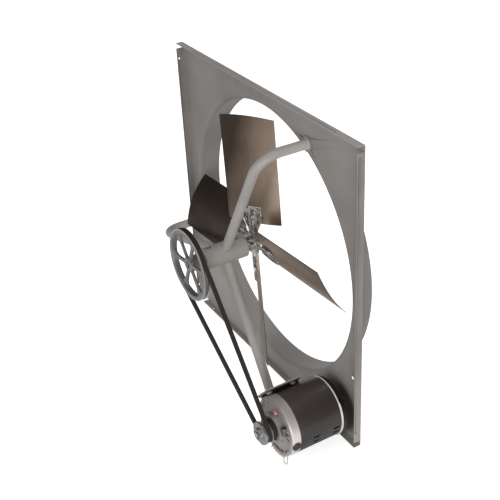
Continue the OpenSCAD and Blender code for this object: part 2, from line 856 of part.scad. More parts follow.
module rear_end_bell() {
  deep = shell_back - back_face - bell_wall;
  spigot_r = shell_r - shell_wall - shell_gap;
  color("#b7b0a8") {
    difference() {
      union() {
        on_motor(shell_back) cylinder(r = shell_r, h = shell_back - back_rim);
        on_motor(shell_back + bell_spigot) cylinder(r = spigot_r, h = bell_spigot);
        on_motor(back_rim) cylinder(r1 = shell_r, r2 = shell_r - bell_round, h = back_rim - back_face);
        on_motor(back_face) cylinder(r = boss_hollow_r, h = back_face - back_hub);
        on_motor(back_lip_front) rotate([0, 0, back_lip_start]) rotate_extrude(angle = back_lip_angle)
          translate([shell_r - bell_round, 0]) square([bell_round + back_lip_proud, back_lip_long]);
      }
      on_motor(shell_back) difference() {
        cylinder(r1 = spigot_r - bell_wall, r2 = spigot_r - bell_wall - bell_round, h = deep);
        cylinder(r = bell_hub_r, h = deep);
      }
      on_motor(shell_back + bell_spigot + over) cylinder(r = spigot_r - bell_wall, h = bell_spigot + over);
      on_motor(shell_back + over) cylinder(r = bush_r + seat_fit, h = shell_back + over - back_face);
      for (a = [0 : 30 : 330]) motor_radial(a)
        translate([boss_r + bell_wall, -back_face - bell_wall - over, -comb_wide / 2])
        cube([back_slot_long, comb_deep, comb_wide]);
      through_bolt_holes();
    }
    for (a = switch_post_angles) motor_radial(a) translate([switch_post_place, -switch_back, 0])
      rotate([-90, 0, 0])
      cylinder(r = switch_post_r, h = switch_back - back_face - bell_wall + weld_gap);
  }
}
module front_sleeve_bearing() {
  color("#b08d4f") on_motor(boss_front) ring(bush_r, motor_shaft_r + running, bush_long);
}
module rear_sleeve_bearing() {
  color("#b08d4f") on_motor(back_face + back_bush_long)
    ring(bush_r, motor_shaft_r + running, back_bush_long);
}
module stator_core() {
  color("#5c5a57") difference() {
    on_motor(stator_front) ring(stator_r, stator_bore_r, stator_front - stator_back);
    for (i = [0 : stator_slots - 1]) on_motor(stator_front + over) rotate([0, 0, i * 360 / stator_slots])
      translate([stator_slot_place, 0, 0])
        cylinder(r = stator_slot_r, h = stator_front - stator_back + over + over);
    through_bolt_holes();
  }
}
module stator_windings() {
  color("#a5602c") for (y = [stator_front + winding_gap + winding_r, stator_back - winding_gap - winding_r])
    on_motor(y) rotate_extrude() translate([winding_mid_r, 0]) circle(r = winding_r);
}
module through_bolts() {
  color("#8f8d89") for (a = tie_angles) motor_radial(a) translate([tie_place, 0, 0]) {
    translate([0, -bell_floor, 0]) rotate([-90, 0, 0]) cylinder(r = tie_r, h = bell_floor - back_hub);
    translate([0, -bell_floor - tie_head_t, 0]) rotate([-90, 0, 0])
      cylinder(r = tie_head_r, h = tie_head_t, $fn = 6);
  }
}
module through_bolt_nuts() {
  color("#8f8d89") for (a = tie_angles) motor_radial(a) translate([tie_place, -back_face, 0])
    rotate([-90, 0, 0]) difference() {
    cylinder(r = tie_nut_r, h = tie_nut_t, $fn = 6);
    translate([0, 0, -over]) cylinder(r = tie_r + seat_fit, h = tie_nut_t + over + over);
  }
}
module start_switch_plate() {
  color("#8a5a34") on_motor(switch_back + switch_t) ring(switch_out_r, switch_in_r, switch_t);
}
module overload_protector() {
  color("#2b2a2a") button_frame(bell_floor - bell_wall - protector_gap)
    cylinder(r = protector_r, h = protector_t);
}
module reset_button() {
  color("#b02a33") {
    button_frame(bell_floor + button_out) cylinder(r = button_r, h = button_out + bell_wall);
    button_frame(bell_floor - bell_wall) cylinder(r = button_flange_r, h = button_flange_t);
  }
}
module terminal_block() {
  color("#c9bf9f") motor_radial(block_angle)
    translate([block_place, -bell_floor - block_t, -block_h / 2]) difference() {
    cube([block_w, block_t, block_h]);
    for (x = block_screw_places) translate([x, block_screw_t, block_h / 2]) rotate([90, 0, 0])
      cylinder(r = block_screw_r + rivet_gap, h = block_t);
  }
}
module terminal_screws() {
  color("#b8b5ae") for (x = block_screw_places) motor_radial(block_angle)
    translate([block_place + x, -bell_floor - block_t + block_screw_t, 0]) rotate([90, 0, 0])
      cylinder(r = block_screw_r, h = block_screw_t + block_screw_t);
}
module clamp_screw_places() {
  free = (clamp_foot - clamp_t) / 2;
  for (x = [free, clamp_long - free]) motor_radial(clamp_angle)
    translate([clamp_in_r + x, -bell_floor + bell_wall, 0]) rotate([90, 0, 0]) children();
}
module lead_clamp() {
  bridge = clamp_long - clamp_foot - clamp_foot;
  color("#b3b1ac") difference() {
    motor_radial(clamp_angle) translate([clamp_in_r, -bell_floor, -clamp_wide / 2]) {
      for (x = [0, clamp_long - clamp_foot])
        translate([x, -clamp_t, 0]) cube([clamp_foot, clamp_t, clamp_wide]);
      for (x = [clamp_foot - clamp_t, clamp_long - clamp_foot])
        translate([x, -clamp_rise, 0]) cube([clamp_t, clamp_rise, clamp_wide]);
      translate([clamp_foot - clamp_t, -clamp_rise, 0])
        cube([bridge + clamp_t + clamp_t, clamp_t, clamp_wide]);
    }
    clamp_screw_places() cylinder(r = clamp_stem_r + rivet_gap, h = clamp_rise + bell_wall);
  }
}
module lead_clamp_screws() {
  color("#d0cec8") clamp_screw_places() {
    cylinder(r = clamp_stem_r, h = bell_wall + clamp_t);
    translate([0, 0, bell_wall + clamp_t]) cylinder(r = clamp_screw_r, h = clamp_screw_t);
  }
}
module conduit_plug() {
  color("#26211f") motor_radial(plug_angle) translate([shell_r, -plug_y, 0]) rotate([0, 90, 0]) {
    translate([0, 0, weld_gap]) cylinder(r = plug_r, h = plug_head);
    translate([0, 0, -bell_wall]) cylinder(r = plug_neck_r, h = bell_wall + plug_head);
  }
}
module loop_bend() {
  rotate([90, 0, 0]) rotate_extrude(angle = 180) translate([loop_half, 0])
    circle(r = loop_wire, $fn = loop_sides);
}
module wire_loop() {
  color("#c4bcb2") translate([motor_x, -bell_face - loop_wire - loop_gap, motor_z])
    rotate([0, -wire_hole_angles[0], 0]) translate([wire_hole_place, 0, 0])
      rotate([0, wire_hole_angles[0], 0])
    rotate([-loop_lean, 0, 0]) {
      for (s = [-1, 1]) translate([s * loop_half, 0, -loop_long]) cylinder(r = loop_wire, h = loop_long);
      translate([0, 0, -loop_long]) rotate([0, 180, 0]) loop_bend();
      loop_bend();
    }
}
module bracket_frame() {
  radial(reach_angle) children();
}
module base_bolt_places() {
  for (y = base_bolt_ys, s = [-1, 1]) bracket_frame() translate([bracket_reach, -y, s * base_bolt_half])
    rotate([0, 90, 0]) children();
}
module motor_bracket() {
  color("#8f8b84") difference() {
    bracket_frame() translate([bracket_reach, 0, 0]) rotate([0, 90, 0])
      linear_extrude(height = bracket_t) polygon([
      [bracket_left, -bracket_back], [bracket_left, bracket_cut_deep - bracket_front],
      [bracket_left - bracket_cut_long, -bracket_front], [-bracket_right, -bracket_front],
      [-bracket_right, -bracket_back]]);
    radial(lower_angle) translate([0, -leg_plane, 0]) rotate([0, 90, 0])
      cylinder(r = tube_r + weld_gap, h = low_foot_r);
    base_bolt_places() translate([0, 0, -over])
      cylinder(r = bolt_r + screw_gap, h = bracket_t + over + over);
  }
}
module motor_base() {
  top = bracket_reach + bracket_t;
  color("#1d1b1a") difference() {
    bracket_frame() {
      translate([top, -base_front, -base_half]) cube([base_t, base_front - base_back, base_half * 2]);
      for (z = [-base_web, base_web - base_t])
        translate([top, -base_front, z]) cube([reach - top, base_front - base_back, base_t]);
    }
    on_motor(base_front + over) cylinder(r = shell_r + weld_gap, h = base_front);
    base_bolt_places() cylinder(r = bolt_r + screw_gap, h = bracket_t + base_t + over);
  }
}
module motor_base_bolts() {
  long = bracket_t + base_t + washer_t + bolt_nut_t + bolt_tail;
  color("#b9b7b1") base_bolt_places() {
    cylinder(r = bolt_r, h = long);
    translate([0, 0, -bolt_head_t]) cylinder(r = bolt_head_r, h = bolt_head_t);
  }
}
module motor_base_nuts() {
  color("#c9c7c1") base_bolt_places() translate([0, 0, bracket_t + base_t + washer_t]) difference() {
    cylinder(r = bolt_nut_r, h = bolt_nut_t, $fn = 6);
    translate([0, 0, -over]) cylinder(r = bolt_r + seat_fit, h = bolt_nut_t + over + over);
  }
}
module motor_base_washers() {
  color("#c9c7c1") base_bolt_places() translate([0, 0, bracket_t + base_t])
    ring(washer_r, bolt_r + screw_gap / 2, washer_t);
}
panel();
upper_leg();
left_leg();
lower_leg();
leg_foot_plates();
leg_foot_rivets();
bearing_housing();
pulley_end_outer_ring();
prop_end_outer_ring();
pulley_end_inner_ring();
prop_end_inner_ring();
pulley_end_balls();
prop_end_balls();
retaining_rings();
fan_shaft();
pulley_key();
driven_pulley();
pulley_set_screws();
prop_hub();
prop_hub_set_screws();
prop_spider();
spider_rivets();
upper_blade();
left_blade();
lower_blade();
right_blade();
blade_rivets();
v_belt();
motor_pulley_rear_half();
motor_pulley_front_half();
motor_pulley_set_screw();
motor_shaft();
rotor_core();
rotor_end_rings();
shaft_slinger();
start_switch_collar();
motor_shell();
front_end_bell();
rear_end_bell();
front_sleeve_bearing();
rear_sleeve_bearing();
stator_core();
stator_windings();
through_bolts();
through_bolt_nuts();
start_switch_plate();
overload_protector();
reset_button();
terminal_block();
terminal_screws();
lead_clamp();
lead_clamp_screws();
conduit_plug();
wire_loop();
motor_bracket();
motor_base();
motor_base_bolts();
motor_base_nuts();
motor_base_washers();
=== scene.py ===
# %% [markdown]
# # A belt drive exhaust fan, dressed for a photograph
# The construction model arrives as the frame: every node sits where the engineer put it, and stays there.
# This script gives each node its surface, adds the small bodywork that the construction leaves out
# (weld beads, cast fins, pressed ribs, folded lips) and sets up the camera and the light.

import json
import math

import bmesh
import bpy
from mathutils import Matrix, Vector


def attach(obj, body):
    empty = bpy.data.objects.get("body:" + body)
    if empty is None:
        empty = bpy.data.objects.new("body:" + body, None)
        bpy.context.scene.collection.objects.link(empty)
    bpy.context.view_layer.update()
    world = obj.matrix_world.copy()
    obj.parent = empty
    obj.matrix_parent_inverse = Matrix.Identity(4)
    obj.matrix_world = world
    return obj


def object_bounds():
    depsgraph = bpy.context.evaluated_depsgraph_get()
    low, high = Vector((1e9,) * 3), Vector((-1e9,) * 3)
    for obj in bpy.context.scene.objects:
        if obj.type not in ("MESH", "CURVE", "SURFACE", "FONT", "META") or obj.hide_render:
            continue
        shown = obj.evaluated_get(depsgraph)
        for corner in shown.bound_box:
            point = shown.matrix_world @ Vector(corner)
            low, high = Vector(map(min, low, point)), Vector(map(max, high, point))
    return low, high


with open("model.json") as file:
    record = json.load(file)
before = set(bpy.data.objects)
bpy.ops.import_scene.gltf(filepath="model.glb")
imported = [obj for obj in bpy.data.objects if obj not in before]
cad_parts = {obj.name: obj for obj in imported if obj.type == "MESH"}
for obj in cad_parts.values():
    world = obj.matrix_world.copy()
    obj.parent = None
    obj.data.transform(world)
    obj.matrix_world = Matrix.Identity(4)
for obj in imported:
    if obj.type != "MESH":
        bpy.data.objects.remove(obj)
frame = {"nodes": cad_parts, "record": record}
nodes = frame["nodes"]
first_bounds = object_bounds()
print("nodes in the frame:", len(nodes))
print("lowest corner", tuple(round(c, 4) for c in first_bounds[0]))
print("highest corner", tuple(round(c, 4) for c in first_bounds[1]))

# %% [markdown]
# ## Places that everything else is measured from
# Metres, in the frame's own axes: seen from the motor's side, X runs to the right of the panel, Y into
# the wall and Z up. The two shafts run along Y. They are kept here once, so that a finish such as turned
# metal can measure its distance from the right axis. A blade's angle is counted from X towards Z.

# %% The two axes and the blades
MM = 0.001
FAN_AXIS = Vector((0, 0, -0.006))
MOTOR_AXIS = Vector((0.354, 0, -0.327))
BLADE_TURNS = {"upper": 93.9, "left": 183.9, "lower": 273.9, "right": 3.9}


# %% [markdown]
# ## Shader maths that reads like arithmetic
# A node tree can be written by making each node, setting it and linking it, which takes many lines.
# Wrapping a socket in a small class with the arithmetic operators is shorter, and a pattern then
# reads as the formula that it is. Everything that isn't arithmetic goes through one method.

# %% Wires and finishes
class Wire:
    """An output socket that adds, scales and compares like a number."""

    def __init__(self, finish, socket):
        self.finish = finish
        self.socket = socket

    def math(self, operation, *values):
        return self.finish.math_of(operation, *values)

    def __add__(self, other):
        return self.math("ADD", self, other)

    __radd__ = __add__

    def __sub__(self, other):
        return self.math("SUBTRACT", self, other)

    def __rsub__(self, other):
        return self.math("SUBTRACT", other, self)

    def __mul__(self, other):
        return self.math("MULTIPLY", self, other)

    def __pow__(self, other):
        return self.math("POWER", self, other)

    def step(self, start, end):
        """0 below start, 1 above end and a smooth rise between them."""
        return self.finish.add(
            "ShaderNodeMapRange",
            {"interpolation_type": "SMOOTHSTEP"},
            {"Value": self, "From Min": start, "From Max": end},
        )

    def widened(self):
        """A noise that keeps near 0.5, spread over the whole way from 0 to 1."""
        return self.step(0.3, 0.7)


def eye(red, green, blue):
    """A colour as the eye reads it on a screen, 0 to 255, turned into the light that it stands for."""
    parts = []
    for level in (red, green, blue):
        share = level / 255
        parts.append(share / 12.92 if share <= 0.04045 else ((share + 0.055) / 1.055) ** 2.4)
    return (*parts, 1.0)


class Finish:
    """One material: its shader, and the wires that vary over the surface."""

    def __init__(self, name, **plain):
        self.material = bpy.data.materials.new(name)
        self.material.use_nodes = True
        self.tree = self.material.node_tree
        self.shader = self.tree.nodes["Principled BSDF"]
        self.place = self.add("ShaderNodeTexCoord", out="Object")
        self.set(**plain)

    def add(self, kind, settings=None, sockets=None, out=0):
        """Any node: its type, its settings, then the values or wires of its sockets."""
        node = self.tree.nodes.new(kind)
        for key, value in (settings or {}).items():
            setattr(node, key, value)
        for key, value in (sockets or {}).items():
            self.plug(node.inputs[key], value)
        return Wire(self, node.outputs[out])

    def plug(self, target, value):
        """A wire is linked to the socket, and anything else becomes its plain value."""
        if isinstance(value, Wire):
            self.tree.links.new(value.socket, target)
        else:
            target.default_value = value

    def set(self, **values):
        """Give the shader's sockets their wires or values: base_color is the socket Base Color."""
        for key, value in values.items():
            self.plug(self.shader.inputs[key.replace("_", " ").title()], value)

    def spots(self, size, detail=3.0, stretch=(1, 1, 1)):
        """Cloudy noise about 0.5, with spots of the given size in metres. A stretch over 1 narrows them."""
        where = self.add("ShaderNodeVectorMath", {"operation": "MULTIPLY"}, {0: self.place, 1: stretch})
        return self.add("ShaderNodeTexNoise", None, {"Vector": where, "Scale": 1 / size, "Detail": detail})

    def blend(self, share, first, second):
        """Two colours mixed by a share from 0 to 1. The node's colours are inputs 6 and 7, output 2."""
        return self.add("ShaderNodeMix", {"data_type": "RGBA"}, {0: share, 6: first, 7: second}, out=2)

    def bump(self, height, depth, strength):
        """A height between 0 and 1 that stands depth metres proud."""
        sockets = {"Height": height, "Distance": depth, "Strength": strength}
        return self.add("ShaderNodeBump", None, sockets)

    def math_of(self, operation, *values):
        """A maths node whose values are wires or plain numbers."""
        return self.add("ShaderNodeMath", {"operation": operation}, dict(enumerate(values)))

    def axis_of(self, centre):
        """The distance from a shaft along Y, then the place: X and Z from the shaft, Y from the wall."""
        parts = self.add("ShaderNodeSeparateXYZ", None, {0: self.place})
        x = Wire(self, parts.socket.node.outputs[0]) - centre.x
        y = Wire(self, parts.socket.node.outputs[1])
        z = Wire(self, parts.socket.node.outputs[2]) - centre.z
        return (x * x + z * z) ** 0.5, x, y, z


# %% [markdown]
# ## Baked grey enamel of the panel, the tubes and the bearing housing
# The paint is a warm mid grey with a slight sheen. Sprayed enamel is never quite even, so a slow
# cloud shifts the grey by a few levels and a fine grain gives the orange peel. A real coat is about
# 0.05 mm thick, so the bump stays that small and only breaks up the highlights.
# Four tones aren't paint. They are read from the photograph and stand in for its light: the panel is
# paler low down, its top flange paler still, the tubes turn paler towards the sheet, and the sheet
# behind the motor is nearly black. The last is a dark spot with a soft edge that the cloud breaks up.
# The housing's bore is painted nearly black as shade, so that its two slots show as dark openings.

# %% Enamel
# Heights count from the fan's axis, and places along Y from the back of the sheet.
BORE_PAINTED_SHADE = eye(12, 11, 11)
FLANGE_GREY = eye(196, 192, 187)
FOOT_GREY = eye(192, 188, 183)
SHADE_BROWN = eye(38, 32, 28)
PALE_BELOW = -0.40
PLAIN_ABOVE = -0.08
FLANGE_FROM = 0.4396
FLANGE_TO = 0.4408
FLANGE_SHARE = 0.45
FEET_FROM = -0.13
FEET_TO = -0.02
SHEET_FRONT = -0.0013
SHEET_INSIDE = -0.0005
SPOT_INNER = 0.070
SPOT_OUTER = 0.100
SPOT_SHARE = 0.93
SPOT_WANDER = 0.012


def dark_spot(x, y, z, centre, cloud):
    """How much of the dark spot shows: all in its middle, none round it or inside the sheet."""
    across = x - centre[0]
    up = z - centre[1]
    far = (across * across + up * up) ** 0.5 + cloud * SPOT_WANDER
    spot = (1 - far.step(SPOT_INNER, SPOT_OUTER)) * SPOT_SHARE
    return spot * (1 - y.step(SHEET_FRONT, SHEET_INSIDE))


def enamel(name, deep, light, rough, spread=1.0, lift=0.0, bore=None, ends=0.0, spot=None):
    """Paint between a deep and a light grey. Lift, ends and spot are its tones of light, and a bore is
    painted nearly black inside as shade.
    """
    paint = Finish(name, roughness=rough, metallic=0.0)
    cloud = paint.spots(0.16, 4.0)
    grain = paint.spots(0.0035, 2.0)
    far, x, y, z = paint.axis_of(FAN_AXIS)
    uneven = (cloud.widened() * 0.8 + grain * 0.2) * spread
    low_down = (1 - z.step(PALE_BELOW, PLAIN_ABOVE)) * lift
    coat = paint.blend(uneven + low_down, eye(*deep), eye(*light))
    # Painted shade: inside the bore the coat turns nearly black.
    if bore:
        coat = paint.blend(far.step(bore - 0.5 * MM, bore), BORE_PAINTED_SHADE, coat)
    coat = paint.blend(z.step(FLANGE_FROM, FLANGE_TO) * FLANGE_SHARE, coat, FLANGE_GREY)
    if ends:
        coat = paint.blend(y.step(FEET_FROM, FEET_TO) * ends, coat, FOOT_GREY)
    if spot:
        coat = paint.blend(dark_spot(x, y, z, spot, cloud), coat, SHADE_BROWN)
    paint.set(base_color=coat)
    paint.set(roughness=rough + cloud * 0.08)
    paint.set(normal=paint.bump(grain, 0.06 * MM, 0.6))
    return paint.material


panel_paint = enamel(
    "grey_panel_enamel",
    deep=(122, 117, 113),
    light=(166, 161, 157),
    rough=0.42,
    spread=0.32,
    lift=0.62,
    spot=(0.335, -0.354),
)
tube_paint = enamel("grey_tube_enamel", (146, 142, 138), (160, 156, 152), 0.40, ends=0.6)
housing_paint = enamel("housing_enamel", (144, 140, 136), (158, 154, 150), 0.40, bore=0.0296)
print("enamels:", panel_paint.name, tube_paint.name, housing_paint.name)

# %% [markdown]
# ## Rolled and polished steels
# Bright steel is for screws, nuts and shafts, a greyer one for the turned motor pulley, a duller one
# for the strap clamp, and dark steel for the hub, the slinger and the through-bolts' nuts. They share
# one recipe: a metallic base, fine turning marks round the shafts' direction and a little uneven oxide.

# %% Steels
TURNING_MARKS = (1, 6, 1)


def steel(name, deep, light, rough, metallic=1.0):
    """Turned or plated metal that wanders between a deep and a light grey."""
    metal = Finish(name, metallic=metallic)
    cloud = metal.spots(0.012, 4.0)
    lines = metal.spots(0.0008, 2.0, TURNING_MARKS)
    metal.set(base_color=metal.blend(cloud.widened(), eye(*deep), eye(*light)))
    metal.set(roughness=rough + cloud * 0.12)
    metal.set(normal=metal.bump(lines, 0.02 * MM, 0.5))
    return metal.material


bright_steel = steel("bright_plated_steel", (176, 176, 174), (214, 214, 212), 0.24)
machined = steel("machined_zinc", (148, 149, 147), (178, 179, 177), 0.36, 0.8)
plated = steel("zinc_strap", (128, 132, 129), (164, 168, 164), 0.3, 0.85)
dark_steel = steel("blackened_steel", (40, 38, 37), (66, 63, 61), 0.42, 0.6)
print("steels:", bright_steel.name, machined.name, plated.name, dark_steel.name)

# %% [markdown]
# ## Spangled zinc of the propeller's spider
# Hot-dipped sheet shows crystals a few millimetres across, each reflecting at its own angle. A cell
# pattern gives every crystal its own grey and roughness, which is nearer to the real thing than noise.

# %% Zinc
CRYSTAL = 0.006

zinc_finish = Finish("spangled_zinc", metallic=0.9)
cell_sockets = {"Vector": zinc_finish.place, "Scale": 1 / CRYSTAL}
cells = zinc_finish.add("ShaderNodeTexVoronoi", None, cell_sockets, out="Color")
crystal = zinc_finish.add("ShaderNodeSeparateColor", None, {0: cells})
zinc_finish.set(base_color=zinc_finish.blend(crystal, eye(146, 142, 138), eye(226, 222, 217)))
zinc_finish.set(roughness=0.24 + crystal * 0.16)
zinc_finish.set(normal=zinc_finish.bump(zinc_finish.spots(0.012), 0.1 * MM, 0.5))
zinc = zinc_finish.material
print("zinc crystals:", CRYSTAL / MM, "mm")

# %% [markdown]
# ## Cast grey iron of the driven pulley, and die-cast aluminium of the motor's bells
# The pulley's faces are turned bright near the rim and left rough on the spokes. The distance from
# the shaft decides which is which, so the turned band follows the rim whatever way the wheel stands.
# The inside of the front bell is painted nearly black as shade, so that its slots read as black.
# The same bell pales downwards and its turned rim darkens upwards, which stands in for light from below.
# The rear bell is painted dark behind a bare rim beside the shell, as painted shade. The rear bell is
# read as dark behind a bare rim beside the shell, though a part of that may be shadow.

# %% Castings
RAW_DARKER = 12
RAW_LIGHTER = 28
TOOL_STEP = 0.0011
RIM_LIT_BELOW = 0.01
RIM_SHADED_ABOVE = 0.085
BELL_INSIDE_SHADE = eye(14, 13, 12)
BELL_PAINTED_SHADE = eye(24, 21, 20)


def casting(name, axis, raw, turned, band, rough, metallic=0.75, cavity=None, slope=0.0, shade_from=None):
    """Rough metal with a turned band. A slope pales it downwards and darkens the top of its rim, as painted
    light and shade.
    """
    metal = Finish(name, metallic=metallic)
    far, _, y, z = metal.axis_of(axis)
    grit = metal.spots(0.0022, 4.0)
    cloud = metal.spots(0.02, 3.0)
    # Painted light: the slope pales the skin downwards.
    tone = cloud.widened() * 0.4 + 0.3 - z * slope
    deep = eye(*[level - RAW_DARKER for level in raw])
    light = eye(*[level + RAW_LIGHTER for level in raw])
    skin = metal.blend(tone, deep, light)
    bright = far.step(*band)
    rings = metal.math_of("SINE", far * (math.tau / TOOL_STEP))
    # Painted shade: the turned rim goes towards the raw grey at its top.
    rim = metal.blend(z.step(RIM_LIT_BELOW, RIM_SHADED_ABOVE) * (slope * 0.1), eye(*turned), eye(*raw))
    colour = metal.blend(bright, skin, rim)
    # Painted shade: the cavity inside the bell is coloured nearly black.
    if cavity:
        middle, half_length, radius = cavity
        depth = metal.math_of("ABSOLUTE", y - middle)
        within_radius = 1 - far.step(radius - MM, radius)
        within_length = 1 - depth.step(half_length - MM, half_length)
        colour = metal.blend(within_radius * within_length, colour, BELL_INSIDE_SHADE)
    # Painted shade: behind the given place along Y the bell turns dark.
    if shade_from:
        colour = metal.blend(y.step(shade_from - 0.8 * MM, shade_from), colour, BELL_PAINTED_SHADE)
    metal.set(base_color=colour)
    metal.set(roughness=rough - bright * 0.16 + cloud * 0.1)
    metal.set(normal=metal.bump(grit * (1 - bright) + rings * bright * 0.12, 0.22 * MM, 0.6))
    return metal.material


BELL = {
    "axis": MOTOR_AXIS,
    "raw": (150, 143, 138),
    "turned": (228, 220, 216),
    "band": (0.0786, 0.0806),
    "rough": 0.5,
    "metallic": 0.35,
}
WHEEL_BAND = (0.0955, 0.0985)
# The cavity's middle along Y, half its length, and its radius.
FRONT_CAVITY = (-0.1275, 0.0791, 0.0765)
REAR_RIM = -0.0560

cast_grey = casting("cast_iron_wheel", FAN_AXIS, (134, 133, 132), (186, 185, 184), WHEEL_BAND, 0.42)
bell_metal = casting("cast_bell", **BELL, cavity=FRONT_CAVITY, slope=8.0)
# The rear bell's dark part behind its rim is painted shade.
shaded_rear_bell = casting("rear_bell_painted_shade", **BELL, shade_from=REAR_RIM)
print("castings:", cast_grey.name, bell_metal.name, shaded_rear_bell.name)

# %% [markdown]
# ## Brown sheet of the blades
# The blades are rolled brown sheet. Their colour is painted darker towards one long edge and towards
# the tip, and each blade is painted paler or darker as a whole: painted reflection and shade, since the
# four blades are alike. Each blade gets its own material, because the painted shade is measured across
# that blade: its place along the chord is the part of the position that lies square to the blade's own
# radius. Rolling leaves fine marks, drawn here by stretching a noise upwards.

# %% Blades
ROLLING_MARKS = (1, 1, 0.08)
CHORD_PAINTED_SHADE = -6.0
MIDDLE_TONE = 0.45
BLADE_DEEP = eye(74, 63, 55)
BLADE_LIGHT = eye(184, 164, 146)


def blade_sheet(name, angle, tone, fade):
    """A higher tone is paler, and a higher fade darkens more towards the tip, both as painted light and
    shade.
    """
    sheet = Finish(name, metallic=1.0)
    _, x, _, z = sheet.axis_of(FAN_AXIS)
    turn = math.radians(angle)
    across = z * math.cos(turn) - x * math.sin(turn)
    along = x * math.cos(turn) + z * math.sin(turn)
    cloud = sheet.spots(0.09, 3.0)
    streak = sheet.spots(0.004, 3.0, ROLLING_MARKS)
    # Painted reflection and shade: darker across the chord and towards the tip; the cloud and streaks are
    # the sheet's own.
    share = across * CHORD_PAINTED_SHADE - along * fade + cloud * 0.34 + streak * 0.16 + (tone + MIDDLE_TONE)
    sheet.set(base_color=sheet.blend(share, BLADE_DEEP, BLADE_LIGHT))
    sheet.set(roughness=0.3 + streak * 0.1)
    sheet.set(normal=sheet.bump(streak, 0.04 * MM, 0.5))
    return sheet.material


# Each blade's tone and fade are painted light and shade for that blade.
BLADE_PAINTED_LIGHT = {"upper": (0.12, 2.1), "left": (-0.17, 1.1), "lower": (0.34, 1.1), "right": (0.4, 1.1)}
BLADES = {}
for where, (tone, fade) in BLADE_PAINTED_LIGHT.items():
    BLADES[f"{where}_blade"] = blade_sheet(f"brown_sheet_{where}", BLADE_TURNS[where], tone, fade)
print("blade finishes:", len(BLADES))

# %% [markdown]
# ## Dark enamel of the motor shell
# The shell is rolled sheet under a dark brown-black enamel with a good sheen, so its highlights are
# long streaks along the motor. A clear coat over a dark base gives that better than a shiny base.
# The enamel pales upwards, which stands in for the light on its upper side. The shell's inner side is
# painted nearly black as shade, so that the vents read as black.

# %% Shell
SHELL_INNER = 0.0790
SHELL_OUTER = 0.0803
PALER_UPWARDS = 11.0

shell_finish = Finish("dark_shell_enamel", metallic=0.0, coat_weight=0.35, coat_roughness=0.22)
shell_cloud = shell_finish.spots(0.05, 4.0, (1, 0.35, 1))
shell_grain = shell_finish.spots(0.0028, 2.0)
shell_far, _, _, shell_height = shell_finish.axis_of(MOTOR_AXIS)
paleness = shell_cloud * 0.4 + shell_height * PALER_UPWARDS - 0.04
shell_coat = shell_finish.blend(paleness, eye(34, 29, 28), eye(60, 53, 50))
# Painted shade: inside the shell's outer skin the colour is nearly black.
outside = shell_far.step(SHELL_INNER, SHELL_OUTER)
shell_finish.set(base_color=shell_finish.blend(outside, eye(9, 8, 8), shell_coat))
shell_finish.set(roughness=0.38 + shell_cloud * 0.1)
shell_finish.set(normal=shell_finish.bump(shell_grain, 0.05 * MM, 0.6))
shell_paint = shell_finish.material
print("shell:", shell_paint.name)

# %% [markdown]
# ## Rubber, plastics and the pieces inside
# The belt has a woven jacket: a fine grain on nearly black rubber stands for the weave. The plastics
# have a faint moulded grain. Copper, bronze and the stack of laminations are inside the object, and
# the laminations are drawn as thin layers along the shaft.


# %% Small finishes
def plain(name, deep, light, rough, metallic=0.0, size=0.002, depth=0.04 * MM, stretch=(1, 1, 1)):
    """A body colour between deep and light, with a moulded grain of the given size and depth."""
    body = Finish(name, metallic=metallic)
    grain = body.spots(size, 3.0, stretch)
    cloud = body.spots(size * 9, 3.0)
    body.set(base_color=body.blend(grain * 0.5 + cloud * 0.5, eye(*deep), eye(*light)))
    body.set(roughness=rough + cloud * 0.1)
    body.set(normal=body.bump(grain, depth, 0.6))
    return body.material


LAYERS = (0.1, 8, 0.1)

belt_rubber = plain("jacketed_rubber", (29, 25, 24), (52, 46, 43), 0.62, size=0.0012, depth=0.1 * MM)
black_plastic = plain("black_plastic", (34, 33, 32), (52, 50, 48), 0.45)
red_plastic = plain("red_plastic", (168, 34, 44), (196, 48, 58), 0.35)
beige_plastic = plain("beige_plastic", (168, 158, 134), (190, 181, 158), 0.5)
brown_plastic = plain("brown_plastic", (74, 54, 40), (96, 72, 54), 0.5)
base_paint = plain("black_base_enamel", (26, 25, 25), (44, 42, 41), 0.4)
bronze = plain("oiled_bronze", (134, 96, 52), (166, 124, 74), 0.3, 1.0)
copper = plain("enamelled_copper", (92, 46, 28), (132, 72, 44), 0.4, 0.8, 0.0012, 0.3 * MM)
laminations = plain(
    "varnished_laminations", (34, 32, 31), (58, 55, 52), 0.5, 0.6, 0.0006, 0.1 * MM, LAYERS
)

SLOTS = {
    "panel_paint": panel_paint,
    "tube_paint": tube_paint,
    "bright_steel": bright_steel,
    "cast_grey": cast_grey,
    "dark_steel": dark_steel,
    "blade_metal": BLADES["upper_blade"],
    "zinc": zinc,
    "belt_rubber": belt_rubber,
    "shell_paint": shell_paint,
    "bell_metal": bell_metal,
    "bronze": bronze,
    "laminations": laminations,
    "copper": copper,
    "black_plastic": black_plastic,
    "red_plastic": red_plastic,
    "beige_plastic": beige_plastic,
    "brown_plastic": brown_plastic,
    "base_paint": base_paint,
}
print("finish slots filled:", len(SLOTS))

# %% [markdown]
# ## Dressing the nodes
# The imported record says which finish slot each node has. A node gets that slot's material in place of
# its own, or a finish of its own where one slot covers pieces that look different in the photograph.
# The nodes listed with an edge get a bevel of a few tenths of a millimetre: pressed and cast edges are
# never knife-sharp, and the small round catches the light. The panel also gets even normals, which
# take most of the faint creases out of its flat sheet. All of these are modifiers, so the
# construction's own vertices stay as they are.

# %% Materials and edge rounds
node_slot = {part["node"]: part["material_slot"] for part in frame["record"]["subparts"]}

SHARP_FROM = math.radians(40)
